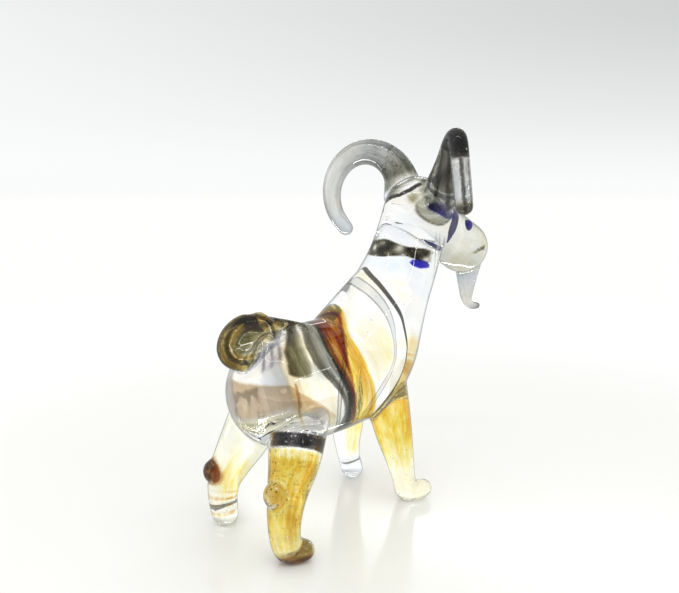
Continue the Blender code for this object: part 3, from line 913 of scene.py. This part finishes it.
def lay_other_legs(c):
    """A gold patch and three amber rings on the left hind leg, and gold in the upper front legs."""
    s, phi = c.found["hind_left"][:2]
    leg = c.part["hind_left"]
    patch = bump_at(11.5, 2.8, s) * smoothstep(75, 25, angle_gap(phi, 95))
    c.gold += leg * (0.14 + 0.85 * patch)
    c.amber += leg * 0.04 * patch
    rings = np.maximum(bump_at(15.0, 0.16, s), np.maximum(bump_at(16.2, 0.16, s), bump_at(17.4, 0.18, s)))
    c.amber += leg * rings * 0.5
    s, phi = c.found["front_right"][:2]
    leg = c.part["front_right"]
    c.gold += leg * (1.25 - 1.10 * smoothstep(7, 14, s))
    c.amber += leg * 0.30 * bump_at(4.5, 2.5, s) * smoothstep(60, 20, angle_gap(phi, 40))
    s, phi = c.found["front_left"][:2]
    leg = c.part["front_left"]
    c.gold += leg * 0.85 * smoothstep(100, 45, angle_gap(phi, 60)) * (1 - smoothstep(11, 15, s))


def lay_collar(c):
    """The mottled olive and black collar: a slanting band round the neck, its width and depth by the angle."""
    _, y, z = c.co.T
    phi = c.phi
    slant = z - (39.3 + 0.25 * (y + 1.6))
    width = 0.85 + 0.50 * smoothstep(60, -10, phi) + 0.15 * np.sin(phi * 0.09 + 1.0)
    mottle = 0.62 + 0.38 * np.sin(phi * 0.21 + 1.0) * np.sin(z * 3.1 + phi * 0.06) + 0.3 * np.sin(phi * 0.13)
    collar = smoothstep(width + 0.12, width - 0.12, np.abs(slant)) * between(-75, 86, phi, 8) * c.part["body"]
    collar *= 0.2 + 0.8 * smoothstep(-0.98, -0.70, c.turned_right)
    c.olive += collar * (0.5 + 1.1 * mottle)
    c.dark += collar * mottle * (0.85 + 0.25 * smoothstep(25, -5, phi) - 0.22 * bump_at(28, 9, phi))
    c.speck += collar * 1.4


def lay_left_horn(c):
    """Smoky stripes along the left horn, darker at its root: partly its own smoky glass and partly painted
    shade at its inner and outer sides, where its edges are seen. Then the dark seam round its foot and the
    smoky shoulder above the seam."""
    x, y, z = c.co.T
    s, phi, _, _, reach = c.found["horn_left"]
    horn = c.part["horn_left"] * smoothstep(0.3, 1.6, s - 2.2 * smoothstep(-10, -70, phi))
    rooted = 1 - smoothstep(3, 18, s)
    lean = np.abs(phi)
    # Smoke by the angle round the horn (0 inside, 180 outside): its own smoky glass, with painted shade towards
    # both sides.
    grey = np.interp(lean, (0, 12, 22, 48, 60, 108, 114, 122, 128, 158, 166, 180),
                     (1.6, 1.3, 0.7, 0.5, 0.08, 0.06, 0.0, 0.0, 0.5, 0.5, 1.2, 1.5))
    c.smoke += horn * grey * (0.50 + 0.80 * rooted) + horn * (0.12 + 0.38 * rooted)
    c.olive += horn * 0.45 * (1 - smoothstep(1.5, 8, s))
    # Painted shade: dark at the inner and outer sides near the root.
    c.dark += horn * (0.45 * bump_at(2.8, 2.2, s) + 0.30 * rooted) * smoothstep(26, 8, lean)
    c.dark += horn * 0.45 * rooted * smoothstep(158, 170, lean)
    c.speck += horn * 0.4 * bump_at(4.5, 3.5, s)
    seam = from_line(c.co, SEAM)
    c.dark += smoothstep(0.42, 0.20, seam) * 1.1
    above = z - np.interp(x, SEAM[::-1, 0], SEAM[::-1, 2])
    shoulder = smoothstep(-0.1, 0.3, above) * smoothstep(2.6, 2.0, seam) * smoothstep(2.1, 1.6, reach)
    shoulder *= (1 - horn) * smoothstep(-9.6, -8.4, y) * smoothstep(-3.4, -2.6, x)
    c.smoke += shoulder * 1.5
    c.olive += shoulder * 0.60


def lay_right_horn(c):
    """The right horn: streaks up to the fold, a black fold, a clear fall with dark lines along it and an
    olive tip, then the streaked glass round its foot and an olive spot there."""
    x, _, z = c.co.T
    s, phi, _, _, reach = c.found["horn_right"]
    horn = c.part["horn_right"]
    rising = horn * (1 - smoothstep(8.2, 9.2, s))
    streaks = np.maximum(np.sin(np.radians(phi) * 9.0 + s * 0.7), 0)
    c.smoke += rising * (0.60 + 0.60 * streaks)
    c.dark += rising * (0.12 + 0.22 * streaks)
    c.olive += rising * 0.25
    c.dark += horn * between(8.8, 14.3, s, 0.3) * 1.2
    falling = horn * smoothstep(15.0, 15.3, s)
    c.smoke += falling * 0.16
    c.dark += falling * 0.55 * smoothstep(14, 7, angle_gap(phi, -163))
    c.smoke += falling * 0.22 * smoothstep(40, 22, angle_gap(phi, 165))
    c.dark += falling * 0.30 * smoothstep(9, 4, angle_gap(phi, 145))
    c.dark += falling * 0.25 * smoothstep(8, 4, angle_gap(phi, -92))
    c.olive += falling * smoothstep(20.5, 22.5, s) * 0.5
    c.dark += falling * smoothstep(21.6, 22.6, s) * 0.35
    foot = smoothstep(1.55, 1.15, reach) * smoothstep(44.2, 45.6, z) * smoothstep(-1.6, -2.4, x)
    foot *= (1 - horn) * (1 - smoothstep(5, 7, s))
    c.smoke += foot * (0.35 + 0.6 * np.maximum(np.sin(np.radians(phi) * 9.0 + 1.0), 0))
    c.olive += foot * 0.5
    c.olive += bump_at(0, 0.9, np.linalg.norm(c.co - (-3.4, -6.2, 47.2), axis=1)) * 1.8


def lay_head(c):
    """On the right of the head: the smoky oval behind the eye, blue flecks, the lip and the cheek lines.
    Then the beard with its dark tip, the mouth, and a faint tone over the whole head."""
    x, y, z = c.co.T
    right = x < -1
    head = np.clip(c.part["head"] + c.part["body"], 0, 1)
    bulb = np.where(right, oval(y + 9.8, z - 45.2, 3.9, 2.5), FAR)
    c.smoke += head * smoothstep(1.03, 0.95, bulb) * (0.35 + 0.25 * smoothstep(-8, -11, y))
    c.olive += head * smoothstep(1.03, 0.95, bulb) * 0.45
    c.dark += head * bump_at(0.97, 0.06, bulb) * smoothstep(46.5, 44.5, z) * 0.30
    smear = oval(y + 10.8 + 0.6 * np.sin(z * 2.6), z - 45.1 - 0.28 * (y + 10.6), 2.9, 1.15)
    c.blue += head * np.where(right, smoothstep(1.1, 0.8, smear), 0) * 1.5
    chip = oval(y + 5.1, z - 36.9 - 0.17 * (y + 5.1), 1.75, 0.62)
    c.blue += c.part["body"] * np.where(right, smoothstep(1.08, 0.9, chip), 0) * 1.15
    s, phi = c.found["beard"][:2]
    beard = c.part["beard"]
    c.smoke += beard * (0.18 + 0.25 * smoothstep(40, 15, angle_gap(phi, 20)) + 0.2 * smoothstep(8.0, 10.5, s))
    c.dark += beard * smoothstep(11.2, 12.5, s) * 0.50
    c.dark += smoothstep(0.30, 0.12, from_line(c.co, MOUTH)) * 0.35
    c.smoke += c.part["head"] * 0.10
    c.gold += c.part["head"] * 0.06
    c.gold += c.part["head"] * smoothstep(11.5, 14, c.found["head"][0]) * 0.12
    lip = oval(y + 22.0, z - 38.0 + 0.35 * (y + 22), 1.6, 0.30)
    c.olive += np.where(right, smoothstep(1.3, 0.7, lip), 0) * 1.2
    cheek = np.minimum(np.abs(y + 8.6 + 0.05 * (z - 38)), np.abs(y + 9.6 + 0.05 * (z - 38)))
    c.smoke += head * np.where(right, bump_at(0, 0.13, cheek), 0) * between(34.5, 41.5, z, 0.5) * 0.6


def lay_tail(c):
    """Olive stripes wound along the tail's rod, darker where it leaves the rump, and a smoky flat drop."""
    s, phi = c.found["tail_loop"][:2]
    loop, drop = c.part["tail_loop"], c.part["tail_drop"]
    tail = loop + drop
    stripe = smoothstep(0.1, 0.8, np.sin(np.radians(phi) * 5.0 + 0.10 * s))
    c.gold += loop * 0.65 + drop * 0.35
    c.olive += loop * (0.50 + 1.0 * stripe) + drop * 0.5
    c.smoke += drop * (0.40 + 0.3 * bump_at(0, 0.5, c.found["tail_drop"][2] - 0.8)) + loop * 0.12
    c.amber += loop * 0.22
    c.dark += loop * stripe * 0.32
    c.olive += loop * (1 - smoothstep(2.0, 4.5, s)) * 0.8
    c.dark += loop * (1 - smoothstep(1.8, 3.2, s)) * 0.20
    c.speck += tail * 0.22
    winding = np.sin(s * 0.55 + np.radians(phi) * 2.0) - 0.95
    c.dark += tail * 0.45 * bump_at(0, 0.55, winding) * bump_at(7.0, 4.0, s)


def lay_beads(c):
    """The hock beads: the left one amber, the right one pale gold."""
    left, right = c.part["bead_left"], c.part["bead_right"]
    c.amber += left * 1.8 + right * 0.25
    c.gold += right * 0.4
    c.dark += left * 0.24 + right * 0.04
    c.speck += right * 0.4


LAYERS = (lay_crescent, lay_bands, lay_back_stripe, lay_rump_bands, lay_right_hind_leg, lay_other_legs,
          lay_collar, lay_left_horn, lay_right_horn, lay_head, lay_tail, lay_beads)


def paint(skin, co, limbs):
    """Lays the canes: each attribute is how much of one colour lies in the skin at a corner, and
    cane_flow is the corner's place on its own limb, straightened, so that streaks follow the limb."""
    c = Canes(co, limbs)
    for lay in LAYERS:
        lay(c)
    flow = np.stack([np.stack([c.found[name][2], c.found[name][3], c.found[name][0]], 1) for name in limbs], 1)
    flow = flow[np.arange(len(co)), c.reach.argmin(1)]
    turn = np.radians(c.phi)
    round_body = np.stack([c.s - c.front, np.cos(turn) * 0.9, np.sin(turn) * 8.0], 1)
    flow = np.where((c.trunk > 0.5)[:, None], round_body, flow)
    amounts = [("cane_" + colour, getattr(c, colour)) for colour in COLOURS]
    for name, values in (*amounts, ("line_distance", c.line_distance), ("ribbon_distance", c.ribbon_distance)):
        layer = skin.attributes.new(name, "FLOAT", "POINT")
        layer.data.foreach_set("value", np.maximum(values, 0).astype(np.float32))
    layer = skin.attributes.new("cane_flow", "FLOAT_VECTOR", "POINT")
    layer.data.foreach_set("vector", flow.astype(np.float32).ravel())


BEHIND_CAMERA = (-0.683, 0.730, 0.0)
RIGHT_OF_CAMERA = (-0.699, -0.715, 0.0)
# Height in the room from level (0) to straight up (1), and how bright the room is there.
ROOM = ((0.034, 0.955), (0.087, 0.89), (0.17, 0.81), (0.22, 0.77), (0.36, 0.72), (0.6, 0.80))


def surroundings(scene, settings):
    """A white room for the diffuse light. Camera, mirror and glass rays see it grow greyer upwards, and
    more so to the right of the picture. Glass and mirror rays also see a darker side behind the camera."""
    world = bpy.data.worlds.new("surroundings")
    scene.world = world
    world.use_nodes = True
    tree = world.node_tree
    n = Nodes(tree)
    background = tree.nodes["Background"]
    heading = n.add("TexCoord").outputs["Generated"]
    height = n.add("SeparateXYZ", {0: heading}).outputs["Z"]
    ramp = n.add("ValToRGB", {0: height})
    stops = ramp.color_ramp.elements
    stops[0].position, stops[0].color = 0.0, (0.955, 0.975, 0.965, 1)
    stops[1].position, stops[1].color = 1.0, (0.86, 0.87, 0.86, 1)
    for position, level in ROOM:
        stop = stops.new(position)
        stop.color = (level * 0.975, level, level * 0.99, 1)
    path = n.add("LightPath").outputs
    seen_in_glass = n.math("MAXIMUM", path["Is Glossy Ray"], path["Is Transmission Ray"])
    seen_in_glass = n.math("MULTIPLY", seen_in_glass, n.matt_free(path))
    seen = n.math("MAXIMUM", path["Is Camera Ray"], seen_in_glass)
    tree.links.new(n.mixed(seen, WHITE, ramp.outputs[0]), background.inputs["Color"])
    shade = n.ranged(n.along(heading, BEHIND_CAMERA), 0.1, 0.75, 1.0, 1.0 - settings.room_dark)
    shade = n.math("ADD", 1.0, n.math("MULTIPLY", seen_in_glass, n.math("SUBTRACT", shade, 1.0)))
    upward = n.math("MULTIPLY", n.math("MINIMUM", n.math("MAXIMUM", height, 0.0), 0.2), 1.75)
    aslant = n.math("SUBTRACT", 1.0, n.math("MULTIPLY", upward, n.along(heading, RIGHT_OF_CAMERA)))
    aslant = n.math("ADD", 1.0, n.math("MULTIPLY", seen, n.math("SUBTRACT", aslant, 1.0)))
    tree.links.new(n.math("MULTIPLY", shade, aslant), background.inputs["Strength"])


def table_surface(tree, surface):
    """Warm white near the goat, where the shadows fall: a painted warm tint that shows in those shadows.
    Further off it gives its own light instead, and that fades a little into the room. Much of what glass rays
    see of it is its own light too, so that the soles don't turn black."""
    n = Nodes(tree)
    away = n.add("VectorMath", {0: n.add("TexCoord").outputs["Object"]}, operation="LENGTH").outputs["Value"]
    far = n.ranged(away, 0.05, 0.22)
    path = n.add("LightPath").outputs
    in_glass = n.math("MULTIPLY", path["Is Transmission Ray"], n.matt_free(path))
    glow = n.math("MAXIMUM", far, n.math("MULTIPLY", in_glass, 0.6))
    # Painted warm tint near the goat, seen in its shadows; further off, and for glass rays, the table glows
    # instead.
    base = n.mixed(glow, (0.925, 0.93, 0.895, 1), BLACK)
    fade = n.math("MULTIPLY", glow, n.ranged(away, 1.2, 4.5, 1.0, 0.968))
    tree.links.new(base, surface.inputs["Base Color"])
    surface.inputs["Emission Color"].default_value = (1.0, 1.0, 0.995, 1)
    tree.links.new(fade, surface.inputs["Emission Strength"])
    tree.links.new(n.ranged(far, 0.0, 1.0, 0.5, 0.0), surface.inputs["Specular IOR Level"])
    surface.inputs["Roughness"].default_value = 0.16


TABLE_SIDES = 96
# Name, place in metres, and length and width of each strip lamp. All of them point at the goat.
LAMPS = (("strip_above", (-0.25, 0.30, 0.9), (0.9, 0.016)),
         ("strip_side", (-0.9, -0.25, 0.45), (0.7, 0.016)),
         ("strip_back", (0.5, -0.9, 0.55), (1.0, 0.016)))
LAMP_AIM = (0, 0, 0.03)
SENSOR_WIDTH = 36.0
FOCAL_SHARE = 700.0 / 679.0
CAMERA_PLACE = (-0.0736881, 0.0789148, 0.0491384)
CAMERA_DOWN, CAMERA_TURN = 9.1516, 225.619


class GOAT_OT_stage(bpy.types.Operator):
    """Build the table, the surroundings, the lamps and the camera"""
    bl_idname = "goat.stage"
    bl_label = "Stage"

    def execute(self, context):
        settings = context.scene.goat_stage
        scene = context.scene
        turn = np.linspace(0, 2 * np.pi, TABLE_SIDES, endpoint=False)
        rim = np.stack([np.cos(turn), np.sin(turn), np.zeros(TABLE_SIDES)], 1) * settings.floor_size
        rim[:, 2] = -settings.floor_gap
        mesh = bpy.data.meshes.new("table")
        mesh.from_pydata(rim.tolist(), [], [list(range(TABLE_SIDES))])
        table = linked("table", mesh)
        material, tree, surface = new_material("white_table")
        table_surface(tree, surface)
        mesh.materials.append(material)
        surroundings(scene, settings)

        for name, place, size in LAMPS:
            light = bpy.data.lights.new(name, "AREA")
            light.shape = "RECTANGLE"
            light.size, light.size_y = size
            light.energy = settings.lamp_power
            lamp = bpy.data.objects.new(name, light)
            scene.collection.objects.link(lamp)
            lamp.location = place
            aim = np.array(LAMP_AIM) - np.array(place)
            lamp.rotation_euler = Vector(aim).to_track_quat("-Z", "Y").to_euler()

        data = bpy.data.cameras.new("camera")
        data.sensor_width = SENSOR_WIDTH
        data.lens = SENSOR_WIDTH * FOCAL_SHARE
        data.clip_start = 0.005
        camera = bpy.data.objects.new("camera", data)
        scene.collection.objects.link(camera)
        camera.location = CAMERA_PLACE
        camera.rotation_euler = (math.radians(90 - CAMERA_DOWN), 0, math.radians(CAMERA_TURN))
        bpy.context.scene.camera = camera
        scene.view_settings.view_transform = "Standard"
        return {"FINISHED"}


class GOAT_PT_panel(bpy.types.Panel):
    """Sidebar panel of the glass goat"""
    bl_idname = "GOAT_PT_panel"
    bl_label = "Glass goat"
    bl_space_type = "VIEW_3D"
    bl_region_type = "UI"
    bl_category = "Glass goat"

    def draw(self, context):
        for settings in (context.scene.goat_glass, context.scene.goat_stage):
            for name in settings.bl_rna.properties.keys():
                if name not in ("rna_type", "name"):
                    self.layout.prop(settings, name)
        for operator in OPERATORS:
            self.layout.operator(operator.bl_idname)


OPERATORS = (GOAT_OT_stage, GOAT_OT_glass, GOAT_OT_eyes, GOAT_OT_bubbles)
CLASSES = (GoatGlassSettings, GoatStageSettings, *OPERATORS, GOAT_PT_panel)


def register():
    for cls in CLASSES:
        bpy.utils.register_class(cls)
    bpy.types.Scene.goat_glass = bpy.props.PointerProperty(type=GoatGlassSettings)
    bpy.types.Scene.goat_stage = bpy.props.PointerProperty(type=GoatStageSettings)


def unregister():
    del bpy.types.Scene.goat_glass
    del bpy.types.Scene.goat_stage
    for cls in reversed(CLASSES):
        bpy.utils.unregister_class(cls)


def main():
    register()
    bpy.ops.goat.stage()
    bpy.ops.goat.glass()
    bpy.ops.goat.eyes()
    bpy.ops.goat.bubbles()


if __name__ == "__main__":
    main()
